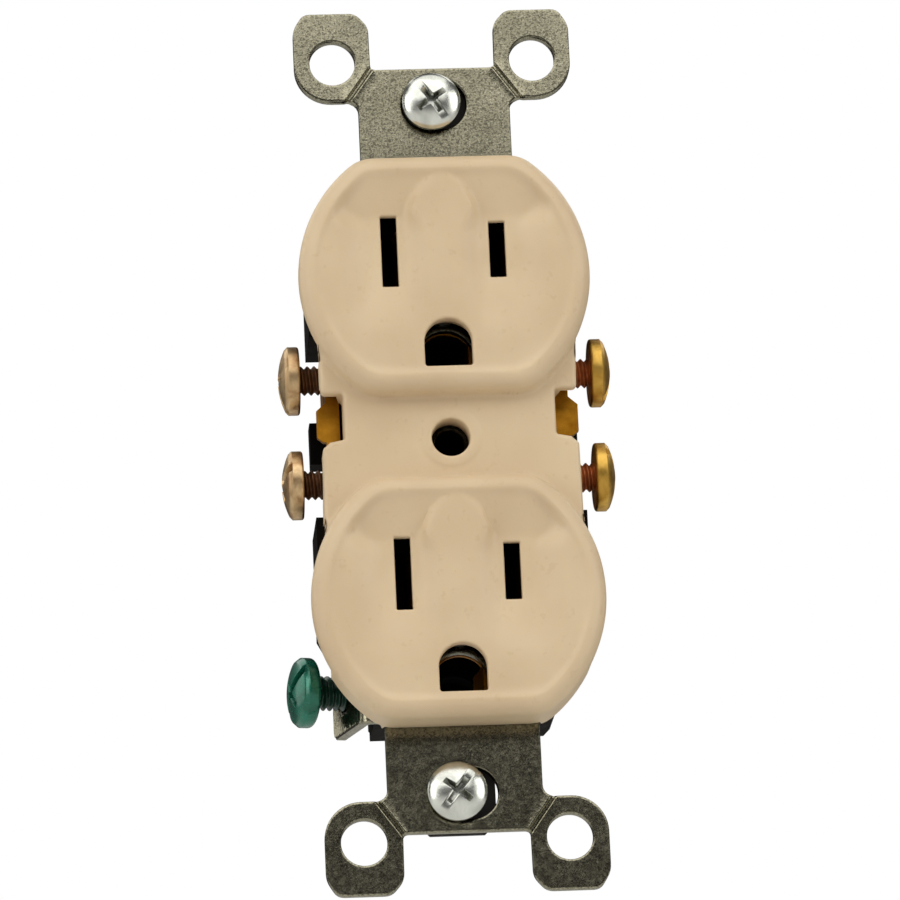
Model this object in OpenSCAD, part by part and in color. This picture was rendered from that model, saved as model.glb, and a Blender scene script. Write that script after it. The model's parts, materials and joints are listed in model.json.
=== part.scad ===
// Duplex wall outlet, 15 A, two three-hole outlets on one steel mounting strap.
// X is to the right, Y is into the wall and Z is up. The origin is on the axis of the
// tapped hole for the wall plate's screw, in the rear plane of the strap.

/* [Outlets] */
// Distance between the centres of the two outlets
outlet_pitch = 38.8; // [38:0.1:39.6]
// Radius of an outlet's round sides
outlet_r = 17.1; // [16.8:0.1:17.4]
// Half the height of an outlet, from its centre to its flats
outlet_flat = 14.35; // [14:0.05:14.6]
// Height of an outlet's face in front of the strap's rear plane
face_front = 7.6; // [7:0.1:8]
// Width of the rounded rim around each face
rim_w = 1.9; // [1.5:0.05:2.6]
// Distance between the two blade slots
blade_pitch = 12.7; // [12.6:0.1:12.8]

/* [Bridge] */
// Half the width of the cover between the outlets
bridge_half_w = 15; // [14.6:0.1:15.2]
// Height of the bridge in front of the strap's rear plane
bridge_front = 4.4; // [4:0.1:4.8]

/* [Strap] */
// Thickness of the steel strap
strap_t = 1.25; // [1:0.05:1.4]
// Distance between the two mounting slots
mount_pitch = 83.34; // [83:0.02:83.6]
// Overall length of the strap
strap_len = 106.6; // [106:0.1:107]
// Half the width of the strap's neck
neck_half_w = 9; // [8.6:0.1:9.4]

/* [Body] */
// Half the width of the back body
body_half_w = 15.9; // [15.6:0.1:16.2]
// Half the length of the back body
body_half_l = 32.6; // [32.2:0.1:33]
// Depth of the back body behind the strap
body_depth = 23; // [22:0.5:25]

/* [Screws] */
// Radius of a 6-32 screw
screw_r = 1.75; // [1.7:0.01:1.8]
// How far the terminal screws are backed out from their plates
terminal_gap = 2.85; // [1:0.05:2.95]
// Sideways rest position of the upper mounting screw in its slot
upper_mounting_x = -0.4; // [-2:0.1:2]
// Sideways rest position of the lower mounting screw in its slot
lower_mounting_x = -1; // [-2:0.1:2]

/* [Hidden] */
$fn = 64;
EPS = 0.05;                          // overrun of a cut past the face it opens
ROUND_FN = 32;                       // facets of a rounded outline

// Outlet pattern, measured from an outlet's centre
outlet_z = outlet_pitch / 2;
blade_up = 2.85;                     // blade slots' centre above the outlet's
ground_down = 9;                     // ground pin's axis below the outlet's centre
rivet_down = 3;                      // rivet of the ground contact, below the centre
rim_h = 2.05;                        // drop of the rounded rim
slot_w = 1.9;
hot_slot_h = 6.8;
neutral_slot_h = 8.6;
ground_hole_r = 2.8;
ground_arch_down = 8.6;              // centre of the ground hole's arch
ground_sill_down = 11.5;             // flat sill of the ground hole
wall = 1.8;                          // wall thickness of the cover
ground_lip = 1.6;                    // thickness of the face around a ground hole

// Terminals are mirrored about the middle of the four blade slots
terminal_mid = blade_up;
terminal_z = 6.35;                   // screws above and below that middle
terminal_y = 2.9;                    // depth of the screws' axes
plate_out = 14.3;                    // outer face of a terminal plate
brass_t = 0.8;
shelf_y = 10.6;                      // front face of the bus shelf
shelf_in = 11.4;                     // inner edge of the terminals' shelf
runner_x = [9, 11.6];                // edges of the runner out to a blade clip
contact_t = 0.6;
contact_half_h = 3.25;
tab_half_h = 2.75;                   // half height of the notch for a break-off tab
fin_z = [-1.9, 4.1];                 // ends of a tab's fin, from the terminals' middle
notch_x = 12.4;
skin = 1.3;                          // the cover's thickness where its side wall is cut back
terminal_head_r = 4.05;
head_clearance = 0.35;

// Push-in wire terminals
wire_x = 10.45;
wire_dz = 5.45;                      // wire holes above and below the terminals' middle
wire_hole_r = 1.25;
rear_wall = 3.5;
leaf_half_h = 2.7;
leaf_dz = 6.65;                      // middle of a leaf above or below the terminals' middle
leaf_root = [8, 18.6];                // X and Y of a leaf's rolled root
leaf_tip = [11.05, 12.9];
leaf_t = 0.3;
leaf_roll_r = 0.6;

// Ground terminal, a wing of the strap that is bent back
wing_bend = 75;
wing_x = -10.4;                      // X of the bend's axis
wing_bend_r = 0.4;                   // inner radius of the bend
wing_len = 9.5;                      // flat length past the bend
wing_z0 = -33;
wing_z1 = -23.4;
ground_screw_at = 5.2;               // screw's distance along the wing
ground_screw_r = 2.05;
ground_gap = 3.8;                    // head's distance from the wing

// Mounting screws and their retainers
slot_half_l = 3.85;
slot_half_h = 3;
mounting_lift = 0.75;                // head's distance from the strap at rest
mounting_len = 15;
mounting_neck = 3.4;                 // unthreaded neck, on which the retainer holds the screw captive
neck_cut = 0.25;
retainer_y = 0.35;
retainer_t = 0.8;

// Assembly screws
assembly_r = 1.45;
assembly_head_r = 3;
assembly_head_y = 20;

IVORY = "#cfb896";
BLACK = "#1a1210";
STEEL = "#8b8974";
BRASS = "#b8862f";
NICKEL = "#c0a98a";
GREEN = "#1f6b55";
ZINC = "#c9ccc6";

// ---- Helpers -------------------------------------------------------------

// An outline drawn in X and Z, made solid from depth y0 to y1
module slab(y0, y1) {
    translate([0, y1, 0]) rotate([90, 0, 0]) linear_extrude(y1 - y0) children();
}

module rod_y(x, z, y0, y1, r) {
    translate([x, y1, z]) rotate([90, 0, 0]) cylinder(h = y1 - y0, r = r);
}

module rod_x(y, z, x0, x1, r) {
    translate([x0, y, z]) rotate([0, 90, 0]) cylinder(h = x1 - x0, r = r);
}

// A block between two opposite corners
module block(a, b) {
    translate(a) cube(b - a);
}

module round_rect(w, h, r) {
    hull() for (x = [-1, 1], z = [-1, 1])
        translate([x * (w / 2 - r), z * (h / 2 - r)]) circle(r = r, $fn = ROUND_FN);
}

module both_sides() {
    children();
    mirror([1, 0, 0]) children();
}

// The upper half and its mirror image about the terminals' middle
module both_terminals() {
    children();
    translate([0, 0, 2 * terminal_mid]) mirror([0, 0, 1]) children();
}

function arc(c, r, a0, a1, n) =
    [for (i = [0:n]) c + r * [cos(a0 + (a1 - a0) * i / n), sin(a0 + (a1 - a0) * i / n)]];

function flip(points) = [for (i = [len(points) - 1:-1:0]) [-points[i][0], points[i][1]]];

// A bent strip of even thickness t along a path of points
function step_normal(a, b) = let (d = b - a) [-d[1], d[0]] / norm(d);
function corner(p, i) =
    let (n1 = step_normal(p[max(i - 1, 0)], p[max(i, 1)]),
         n2 = step_normal(p[min(i, len(p) - 2)], p[min(i + 1, len(p) - 1)]),
         s = n1 + n2)
    2 * s / (s * s);
function strip(p, t) = concat(
    [for (i = [0:len(p) - 1]) p[i] + corner(p, i) * t / 2],
    [for (i = [len(p) - 1:-1:0]) p[i] - corner(p, i) * t / 2]);

// ---- Face cover ------------------------------------------------------------

// Section of an outlet from its middle out to half width w: wall, rounded rim and face
function outlet_section(w) = concat(
    [[0, 0], [w, 0]],
    [for (a = [0:18:90]) [w - rim_w * (1 - cos(a)), face_front - rim_h * (1 - sin(a))]],
    [[0, face_front]]);

module outlet_block() {
    intersection() {
        rotate([90, 0, 0]) rotate_extrude() polygon(outlet_section(outlet_r));
        rotate([90, 0, 90]) translate([0, 0, -20]) linear_extrude(40)
            polygon(concat([for (p = outlet_section(outlet_flat)) [-p[1], p[0]]],
                [for (i = [len(outlet_section(outlet_flat)) - 2:-1:1])
                    [-outlet_section(outlet_flat)[i][1], -outlet_section(outlet_flat)[i][0]]]));
    }
}

module blade_slot(x, h) {
    translate([x, blade_up]) square([slot_w, h], center = true);
}

module ground_hole(grow = 0) {
    translate([0, -ground_arch_down]) circle(r = ground_hole_r + grow);
    translate([-ground_hole_r - grow, -ground_sill_down - grow])
        square([2 * (ground_hole_r + grow), ground_sill_down - ground_arch_down + grow]);
}

module outlet_openings() {
    blade_slot(blade_pitch / 2, hot_slot_h);
    blade_slot(-blade_pitch / 2, neutral_slot_h);
    ground_hole();
}

// The hollow behind one outlet's face
module outlet_hollow() {
    intersection() {
        circle(r = outlet_r - wall);
        square([2 * (bridge_half_w - wall), 2 * (outlet_flat - wall)], center = true);
    }
}

module cover_shell() {
    for (s = [-1, 1]) translate([0, 0, s * outlet_z]) outlet_block();
    block([-bridge_half_w, -bridge_front, -12], [bridge_half_w, 0, 12]);
}

module cover_hollows() {
    for (s = [-1, 1]) translate([0, 0, s * outlet_z])
        slab(-face_front + wall + 0.6, EPS) outlet_hollow();
    block([-bridge_half_w + wall, -bridge_front + wall, -13],
        [bridge_half_w - wall, EPS, 13]);
}

// Posts that take the assembly screws, and collars around the ground and plate screw holes
module cover_posts() {
    inside = face_front - 1;
    for (s = [-1, 1]) {
        rod_y(0, s * outlet_z + blade_up, -inside, -strap_t - EPS, 3.1);
        translate([0, 0, s * outlet_z]) slab(-inside, -strap_t - 1.2)
            ground_hole(1.6);
        for (x = [-1, 1]) translate([x * 13, 0, s * 17])
            block([-0.8, -inside, -2.5], [0.8, 0, 2.5]);
    }
    rod_y(0, 0, -bridge_front + 0.5, -strap_t - EPS, 4);
}

module face_cover() {
    color(IVORY) difference() {
        union() {
            difference() {
                cover_shell();
                cover_hollows();
            }
            cover_posts();
        }
        for (s = [-1, 1]) translate([0, 0, s * outlet_z]) {
            slab(-face_front - EPS, EPS) outlet_openings();
            slab(-face_front + ground_lip, EPS) ground_hole(0.8);
            // the round sides overhang the narrower walls behind them
            both_sides() block([bridge_half_w, -bridge_front, -10], [20, EPS, 10]);
            rod_y(0, blade_up, -5.6, 0, assembly_r + 0.05);
        }
        rod_y(0, 0, -bridge_front - EPS, 0, 2.25);
        // gates in the end walls for the strap's two ends
        for (s = [-1, 1]) translate([0, 0, s * (outlet_z + outlet_flat - 1)])
            block([-neck_half_w - 0.1, -strap_t - EPS, -4], [neck_half_w + 0.1, EPS, 4]);
        // a gate for the ground wing's root
        block([wing_x - 2.2, -strap_t - 0.3, wing_z0 - 0.4], [-neck_half_w, EPS, wing_z1 + 0.4]);
        // notches for the break-off tabs
        both_sides() block([notch_x, -bridge_front - EPS, terminal_mid - tab_half_h],
            [bridge_half_w + EPS, EPS, terminal_mid + tab_half_h]);
        // behind the skin the side wall stops short of the notch and of the screws' heads
        both_sides() {
            block([bridge_half_w - wall - EPS, -bridge_front + skin, terminal_mid - tab_half_h - skin],
                [bridge_half_w + EPS, EPS, terminal_mid + tab_half_h + skin]);
            both_terminals() rod_x(terminal_y, terminal_mid + terminal_z, plate_out - 0.1, 20,
                terminal_head_r + head_clearance);
        }
    }
}

// ---- Back body -------------------------------------------------------------

// Right edge of the body, from the lower end up: sloped shoulders and a squarer lug at each end
function body_edge(half_w, half_l, lug) =
    [[lug - 0.8, -half_l], [lug, -half_l + 0.8], [lug, -half_l + 3.2], [half_w, -half_l + 12],
     [half_w, half_l - 12], [lug, half_l - 3.2], [lug, half_l - 0.8], [lug - 0.8, half_l]];

module body_outline(half_w, half_l, lug) {
    edge = body_edge(half_w, half_l, lug);
    polygon(concat(edge, flip(edge)));
}

// Space in front of and around one side's bus, open to the front
module bus_pocket() {
    back = shelf_y + brass_t + 0.2;
    z_blade = outlet_z + blade_up;
    both_terminals() {
        block([4, -EPS, z_blade - contact_half_h - 0.6], [12, back, z_blade + contact_half_h + 0.6]);
        block([runner_x[0] - 0.4, -EPS, terminal_mid + terminal_z + 2.7], [12, back, z_blade]);
        block([shelf_in - 0.4, -EPS, terminal_mid + tab_half_h + 0.2],
            [13.4, back, terminal_mid + terminal_z + 4.6]);
    }
}

// Open side space for two terminal screws and the wires that loop under them
module terminal_recess() {
    both_terminals() block([13.3, -EPS, terminal_mid + tab_half_h - 0.2],
        [20, shelf_y + brass_t + 0.2, terminal_mid + terminal_z + 4.6]);
    block([12, -EPS, terminal_mid - 4], [20, 2.6, terminal_mid + 4.6]);
    // room for the screws' tips
    both_terminals() rod_x(terminal_y, terminal_mid + terminal_z, 7, 13.5, screw_r + 0.4);
    block([13.2, 2.5, terminal_mid - 4], [20, 8, terminal_mid + 4]);
}

// Chamber for one push-in leaf, with its wire hole and release slot
module wire_chamber() {
    both_terminals() {
        z = terminal_mid + leaf_dz;
        block([7.2, shelf_y, z - leaf_half_h - 0.3],
            [12.3, body_depth - rear_wall, z + leaf_half_h + 0.3]);
        block([9, body_depth - rear_wall - EPS, z + 0.8], [11.6, body_depth + EPS, z + 2]);
        rod_y(wire_x, terminal_mid + wire_dz, body_depth - rear_wall - EPS,
            body_depth + EPS, wire_hole_r);
    }
}

// Pocket for one ground contact
module ground_pocket() {
    block([-4.1, -EPS, -ground_down - 4.9], [4.1, 12, -rivet_down + 2.5]);
    rod_y(0, -ground_down, 0, 15.5, 3.4);
}

module back_body() {
    step_y = 11.5;
    color(BLACK) difference() {
        union() {
            slab(0, step_y) body_outline(body_half_w, body_half_l, 11.2);
            slab(step_y - EPS, body_depth) body_outline(13.2, body_half_l - 2.8, 9.6);
        }
        both_sides() {
            bus_pocket();
            terminal_recess();
            wire_chamber();
        }
        for (s = [-1, 1]) translate([0, 0, s * outlet_z]) {
            ground_pocket();
            rod_y(0, blade_up, -EPS, body_depth + EPS, assembly_r + 0.2);
            rod_y(0, blade_up, assembly_head_y, body_depth + EPS, assembly_head_r + 0.4);
        }
        // relief for the strap's collar and the wall plate's screw
        rod_y(0, 0, -EPS, body_depth - 3, 2.8);
        // corner cut away for the ground wing and its screw
        block([-20, -EPS, -40], [-10.1, body_depth + EPS, wing_z1 + 0.9]);
        ground_screw_frame() translate([0, 0, -9]) cylinder(h = 9, r = ground_screw_r + 0.4);
        // strip gauge, a shallow groove across the back
        block([-6, body_depth - 0.5, 13.2], [6, body_depth + EPS, 15.4]);
    }
}

// ---- Mounting strap ----------------------------------------------------------

// Right half of the strap's upper end, from the middle line outwards
strap_end = concat(
    [[0, outlet_z + 10], [neck_half_w, outlet_z + 10], [neck_half_w, 41]],
    arc([neck_half_w + 1.3, 41], 1.3, 180, 90, 4),
    arc([12.15, 46.6], 4.3, -90, 0, 8),
    arc([14.55, strap_len / 2 - 1.9], 1.9, 0, 90, 4),
    arc([9.3, strap_len / 2 - 1.9], 1.9, 90, 180, 4),
    [[7.4, 46.9]],
    arc([6.7, 46.9], 0.7, 0, -90, 3),
    [[0, 46.2]]);

module strap_outline() {
    for (s = [0, 1]) mirror([0, s]) polygon(concat(strap_end, flip(strap_end)));
    square([7.2, 62], center = true);
    for (s = [-1, 1]) translate([0, s * outlet_z - ground_down]) circle(r = 5.2);
    translate([0, -28]) square([2 * neck_half_w, 9.2], center = true);
    translate([wing_x, wing_z0]) square([-wing_x, wing_z1 - wing_z0]);
}

module strap_holes() {
    for (s = [-1, 1]) {
        translate([0, s * mount_pitch / 2]) {
            for (x = [-1, 1]) translate([x * (slot_half_l - slot_half_h), 0]) circle(r = slot_half_h);
            square([2 * (slot_half_l - slot_half_h), 2 * slot_half_h], center = true);
        }
        for (x = [-1, 1]) translate([x * 11.9, s * 47.1]) circle(r = 2.7);
        translate([0, s * outlet_z - ground_down]) circle(r = 3.3);
        translate([0, s * outlet_z - rivet_down]) circle(r = 1.25);
        translate([0, s * outlet_z + blade_up]) circle(r = assembly_r + 0.2);
    }
    circle(r = 2);
}

// Wing that is bent back beside the body, with the tapped hole of the ground screw
module ground_wing() {
    h = wing_z1 - wing_z0;
    translate([wing_x, wing_bend_r, wing_z0]) {
        rotate([0, 0, 270 - wing_bend]) rotate_extrude(angle = wing_bend)
            translate([wing_bend_r, 0]) square([strap_t, h]);
        rotate([0, 0, -wing_bend]) translate([-wing_len, -wing_bend_r - strap_t, 0])
            difference() {
                cube([wing_len + EPS, strap_t, h]);
                translate([wing_len - ground_screw_at, -EPS, h / 2]) rotate([-90, 0, 0])
                    cylinder(h = strap_t + 2 * EPS, r = ground_screw_r + 0.06);
            }
    }
}

// Break-off line between the neck and one plaster ear, a groove on both faces of the strap
module score_line() {
    translate([8.4, 0, 44.3]) rotate([0, -36, 0]) {
        translate([0, -strap_t - 0.1, 0]) rotate([0, 0, 45]) cube([0.8, 0.8, 6.4], center = true);
        translate([0, 0.15, 0]) rotate([0, 0, 45]) cube([0.6, 0.6, 6.4], center = true);
    }
}

module mounting_strap() {
    color(STEEL) {
        difference() {
            union() {
                slab(-strap_t, 0) difference() {
                    strap_outline();
                    strap_holes();
                }
                rod_y(0, 0, -strap_t, 1.8, 2.6);
            }
            rod_y(0, 0, -strap_t - EPS, 1.8 + EPS, 1.42);
            both_sides() for (s = [0, 1]) mirror([0, 0, s]) score_line();
        }
        ground_wing();
    }
}

// ---- Buses, one brass stamping on each side ----------------------------------

// Two leaves that grip a plug's blade, joined at their base
blade_clip = [[4.95, -3.6], [5.7, 1], [4.8, 6.5], [4.8, shelf_y + contact_t / 2],
    [7.9, shelf_y + contact_t / 2], [7.9, 6.5], [7, 1], [7.75, -3.6]];

module bus_half() {
    z_blade = outlet_z + blade_up;
    z_low = terminal_mid + tab_half_h + 0.4;
    z_high = terminal_mid + terminal_z + 4.3;
    z_screw = terminal_mid + terminal_z;
    difference() {
        block([plate_out - brass_t, 0.3, z_low], [plate_out, shelf_y + brass_t, z_high]);
        rod_x(terminal_y, z_screw, plate_out - 2, plate_out + 1, screw_r + 0.06);
    }
    block([shelf_in, shelf_y, z_low], [plate_out - brass_t / 2, shelf_y + brass_t, z_high]);
    block([runner_x[0], shelf_y, z_high - 1.2], [runner_x[1], shelf_y + brass_t, z_blade]);
    block([7.6, shelf_y, z_blade - contact_half_h],
        [runner_x[1], shelf_y + brass_t, z_blade + contact_half_h]);
    block([shelf_in, shelf_y, terminal_mid + leaf_dz - leaf_half_h],
        [shelf_in + brass_t, 18, terminal_mid + leaf_dz + leaf_half_h]);
    translate([0, 0, z_blade - contact_half_h])
        linear_extrude(2 * contact_half_h) polygon(strip(blade_clip, contact_t));
}

// Tab that is broken off to part the two outlets
module break_off_tab() {
    block([plate_out - brass_t, 0.1, terminal_mid - tab_half_h - 0.8],
        [plate_out, 2, terminal_mid + tab_half_h + 0.8]);
    slab(0.1, 0.9) translate([0, terminal_mid]) polygon([[12.7, fin_z[0]], [14.7, fin_z[0]],
        [15.4, fin_z[0] + 0.6], [15.4, fin_z[1] - 2.2], [12.9, fin_z[1]], [12.7, fin_z[1]]]);
}

module bus() {
    both_terminals() bus_half();
    break_off_tab();
}

module hot_bus() { color(BRASS) bus(); }
module neutral_bus() { color(BRASS) mirror([1, 0, 0]) bus(); }

// ---- Ground contacts ---------------------------------------------------------

ground_leaf = [[4, 0.35], [3.1, 0.35], [2.95, 4.5], [2.5, 8.4], [3.1, 10.6]];

module ground_contact(s) {
    z = s * outlet_z - ground_down;
    color(BRASS) {
        difference() {
            slab(0.05, 0.65) translate([0, z + 1.9]) round_rect(7.8, 13.2, 1);
            rod_y(0, z, -1, 2, 3.2);
            rod_y(0, z + ground_down - rivet_down, -1, 2, 1.25);
            both_sides() block([2.6, -1, z - 2.6], [3.9 + EPS, 2, z + 2.6]);
        }
        both_sides() translate([0, 0, z - 2.4])
            linear_extrude(4.8) polygon(strip(ground_leaf, contact_t));
        for (x = [-1, 1], k = [-1, 1]) translate([x * 3.2, 0, z + k * 2.55])
            block([-0.45, 0.05, -0.3], [0.45, 0.65, 0.3]);
    }
}

module upper_ground_contact() { ground_contact(1); }
module lower_ground_contact() { ground_contact(-1); }

module ground_rivet(s) {
    z = s * outlet_z - rivet_down;
    color(STEEL) {
        rod_y(0, z, -strap_t - 0.05, 0.7, 1.2);
        rod_y(0, z, -strap_t - 0.75, -strap_t - 0.05, 2);
        rod_y(0, z, 0.7, 1.4, 2);
    }
}

module upper_ground_rivet() { ground_rivet(1); }
module lower_ground_rivet() { ground_rivet(-1); }

// ---- Screws, drawn pointing along -Z with the underside of the head at Z = 0 ----

// Round head with a domed top, and a slot with a shorter cross slot
module screw_head(r, h, dome) {
    sphere_r = (r * r + dome * dome) / (2 * dome);
    difference() {
        union() {
            cylinder(h = h - dome, r = r);
            translate([0, 0, h - dome]) intersection() {
                translate([0, 0, dome - sphere_r]) sphere(r = sphere_r);
                cylinder(h = dome, r = r);
            }
        }
        translate([0, 0, h]) cube([2 * r + 1, 1.1, 1.8], center = true);
        translate([0, 0, h]) cube([1.1, r * 1.1, 2.2], center = true);
    }
}

module screw(r, len, head_r, head_h, dome, neck = 0) {
    screw_head(head_r, head_h, dome);
    translate([0, 0, -len]) cylinder(h = len + EPS - neck, r = r);
    if (neck > 0)
        translate([0, 0, -neck - EPS]) cylinder(h = neck + 2 * EPS, r = r - neck_cut);
}

module terminal_screw(side, up, tint) {
    color(tint) translate([side * (plate_out + terminal_gap), terminal_y,
        terminal_mid + up * terminal_z]) rotate([0, side * 90, 0])
        screw(screw_r, 7, terminal_head_r, 2.5, 0.9);
}

module upper_hot_screw() { terminal_screw(1, 1, BRASS); }
module lower_hot_screw() { terminal_screw(1, -1, BRASS); }
module upper_neutral_screw() { terminal_screw(-1, 1, NICKEL); }
module lower_neutral_screw() { terminal_screw(-1, -1, NICKEL); }

// Frame of the ground screw, with Z = 0 at the wing's inner face and Z out along the axis
module ground_screw_frame() {
    translate([wing_x, wing_bend_r, (wing_z0 + wing_z1) / 2]) rotate([0, 0, -wing_bend])
        translate([-ground_screw_at, -wing_bend_r, 0]) rotate([90, 0, 0]) children();
}

module ground_screw() {
    color(GREEN) ground_screw_frame() translate([0, 0, strap_t + ground_gap])
        screw(ground_screw_r, 7.5, 4.1, 2.7, 1);
}

function mounting_x(s) = s > 0 ? upper_mounting_x : lower_mounting_x;

module mounting_screw(s) {
    color(ZINC) translate([mounting_x(s), -strap_t - mounting_lift, s * mount_pitch / 2])
        rotate([90, 0, 0]) screw(screw_r, mounting_len, 3.45, 1.9, 1.1, mounting_neck);
}

module upper_mounting_screw() { mounting_screw(1); }
module lower_mounting_screw() { mounting_screw(-1); }

// Fibre retainer that keeps a mounting screw in the strap's slot
module screw_retainer(s) {
    half = 4.6;                      // half the width and height of the square
    cut = 1.4;                       // its cut corners
    color(BLACK) difference() {
        slab(retainer_y, retainer_y + retainer_t) translate([mounting_x(s), s * mount_pitch / 2])
            polygon([for (k = [0:3]) each [[half, half - cut], [half - cut, half]]
                * [[cos(90 * k), sin(90 * k)], [-sin(90 * k), cos(90 * k)]]]);
        rod_y(mounting_x(s), s * mount_pitch / 2, 0, 2, screw_r + 0.06);
    }
}

module upper_screw_retainer() { screw_retainer(1); }
module lower_screw_retainer() { screw_retainer(-1); }

module assembly_screw(s) {
    color(ZINC) translate([0, assembly_head_y + EPS, s * outlet_z + blade_up])
        rotate([-90, 0, 0]) screw(assembly_r, 25.2, assembly_head_r, 2, 0.8);
}

module upper_assembly_screw() { assembly_screw(1); }
module lower_assembly_screw() { assembly_screw(-1); }

// ---- Push-in leaves ------------------------------------------------------------

module wire_leaf() {
    start = leaf_root + 0.2 * (leaf_tip - leaf_root) / norm(leaf_tip - leaf_root);
    translate([0, 0, terminal_mid + leaf_dz - leaf_half_h]) {
        translate([leaf_root[0], leaf_root[1], 0]) cylinder(h = 2 * leaf_half_h, r = leaf_roll_r);
        linear_extrude(2 * leaf_half_h) polygon(strip([start, leaf_tip], leaf_t));
    }
}

module wire_spring(side, up) {
    color("silver") mirror([side < 0 ? 1 : 0, 0, 0])
        translate([0, 0, up < 0 ? 2 * terminal_mid : 0]) mirror([0, 0, up < 0 ? 1 : 0]) wire_leaf();
}

module upper_hot_wire_spring() { wire_spring(1, 1); }
module lower_hot_wire_spring() { wire_spring(1, -1); }
module upper_neutral_wire_spring() { wire_spring(-1, 1); }
module lower_neutral_wire_spring() { wire_spring(-1, -1); }

// ---- The part ------------------------------------------------------------------

face_cover();
back_body();
mounting_strap();
hot_bus();
neutral_bus();
upper_ground_contact();
lower_ground_contact();
upper_ground_rivet();
lower_ground_rivet();
upper_assembly_screw();
lower_assembly_screw();
upper_hot_screw();
lower_hot_screw();
upper_neutral_screw();
lower_neutral_screw();
ground_screw();
upper_mounting_screw();
lower_mounting_screw();
upper_screw_retainer();
lower_screw_retainer();
upper_hot_wire_spring();
lower_hot_wire_spring();
upper_neutral_wire_spring();
lower_neutral_wire_spring();
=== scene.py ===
"""Duplex wall outlet: detailed meshes, materials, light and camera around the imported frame."""
import json
import math
import random

import bmesh
import bpy
import numpy as np
from mathutils import Matrix, Vector
from mathutils.geometry import delaunay_2d_cdt


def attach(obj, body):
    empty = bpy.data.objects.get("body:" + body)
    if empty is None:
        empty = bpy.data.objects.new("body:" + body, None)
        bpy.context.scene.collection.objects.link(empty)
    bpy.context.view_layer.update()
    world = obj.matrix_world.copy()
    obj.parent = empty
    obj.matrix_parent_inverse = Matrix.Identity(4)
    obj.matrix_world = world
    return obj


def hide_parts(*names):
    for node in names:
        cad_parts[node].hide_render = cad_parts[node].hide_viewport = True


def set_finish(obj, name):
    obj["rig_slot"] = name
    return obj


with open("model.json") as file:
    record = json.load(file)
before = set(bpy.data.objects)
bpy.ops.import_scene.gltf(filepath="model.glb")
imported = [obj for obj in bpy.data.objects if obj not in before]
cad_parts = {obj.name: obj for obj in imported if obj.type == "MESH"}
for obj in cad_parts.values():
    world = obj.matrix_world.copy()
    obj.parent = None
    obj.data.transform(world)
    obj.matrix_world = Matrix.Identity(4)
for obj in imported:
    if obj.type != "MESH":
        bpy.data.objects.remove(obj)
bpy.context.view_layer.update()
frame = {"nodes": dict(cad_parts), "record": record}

MM = 0.001
record = frame["record"]
rng = random.Random(7)

# ---------------------------------------------------------------- dimensions, in mm
# Heights are measured forwards from the strap's rear plane, y = 0.
OUTLET_R = 17.1            # round sides of an outlet
OUTLET_FLAT = 14.35        # its flat top and bottom
OUTLET_Z = 19.4            # an outlet's centre above or below the middle
FACE = 7.6                 # crest of an outlet's rim
RIM_W = 1.9                # width of the rounded rim
RIM_DROP = 2.05            # its drop from crest to wall
DISH = 0.17                # an outlet's face below the crest
SCOOP = 1.45               # depth of the channels round the blade slots
BRIDGE = 4.4               # front of the bridge between the outlets
BRIDGE_X = 15.0            # half width of the bridge
NOTCH_X = 12.4             # notch that shows a break-off tab
NOTCH_Z = (0.1, 5.6)
COVER_WALL = 1.79
NOTCH_RELIEF = 1.3         # the relief behind a notch reaches this far past it
NOTCH_LIP = 1.3            # thickness left in front of that relief
HEAD_RELIEF_X = 14.2       # the relief round the terminal heads starts here
FACE_HOLLOW = 5.2          # hollow behind an outlet's face
BRIDGE_HOLLOW = 2.6        # hollow behind the bridge
SEAT = 1.3                 # bosses that stand on the strap's front
BLADE_X = 6.35             # blade slots left and right of the middle
BLADE_UP = 2.85            # blade slots above an outlet's centre
BLADE_SLOTS = ((-BLADE_X, 0.95, 4.3), (BLADE_X, 0.95, 3.4))   # x, half width, half height
GROUND_ARCH = -8.6         # centre of a ground hole's arch, from the outlet's centre
GROUND_SILL = -11.5        # and its flat bottom
GROUND_R = 2.8
CENTRE_R = 2.25            # the cover's hole for the wall plate's screw
CENTRE_BOSS_R = 4.02       # boss behind that hole
BOSS_R = 3.12              # boss behind an outlet's face, for its assembly screw
PIN_LIP = 0.78             # width of the thin lip round a ground hole's mouth
PIN_COLLAR = 1.63          # and of the collar that reaches further back
STRAP_T = 1.25
NECK_X = 9.0               # half width of the strap's ends
WEB_X = 3.6                # half width of the strap behind the cover
MOUNT_Z = 41.67            # mounting slots above and below the middle
SLOT_R = 3.0               # radius of their round ends
SLOT_HALF = 0.85           # half the distance between those ends
EAR_X = 11.9               # holes in the plaster ears, from the middle
EAR_Z = 47.1
EAR_HOLE_R = 2.7
CONTACT_WINDOW_R = 3.3     # strap's hole round a ground contact
TAPPED_R = 1.42            # strap's tapped hole for the wall plate's screw
TERMINAL_DZ = 6.35         # terminal screws above and below their middle, at BLADE_UP
PITCH = 0.794              # 32 threads to the inch
WING_X = -10.4             # the wing's bend starts here
WING_BEND = math.radians(75)
WING_R = 0.4
WING_LEN = 9.5
WING_Z = (-33.0, -23.4)
WING_MID = (WING_Z[0] + WING_Z[1]) / 2
WING_FLAT_X = WING_X - (WING_R + STRAP_T / 2) * WING_BEND     # the bend's end on the flat blank
GROUND_SCREW_AT = 5.2      # from there along the wing


# ---------------------------------------------------------------- small tools
def arc(cx, cy, r, a0, a1, n):
    """Points on an arc, both ends included; angles in degrees."""
    t = np.radians(np.linspace(a0, a1, n + 1))
    return [(cx + r * math.cos(a), cy + r * math.sin(a)) for a in t]


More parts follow.
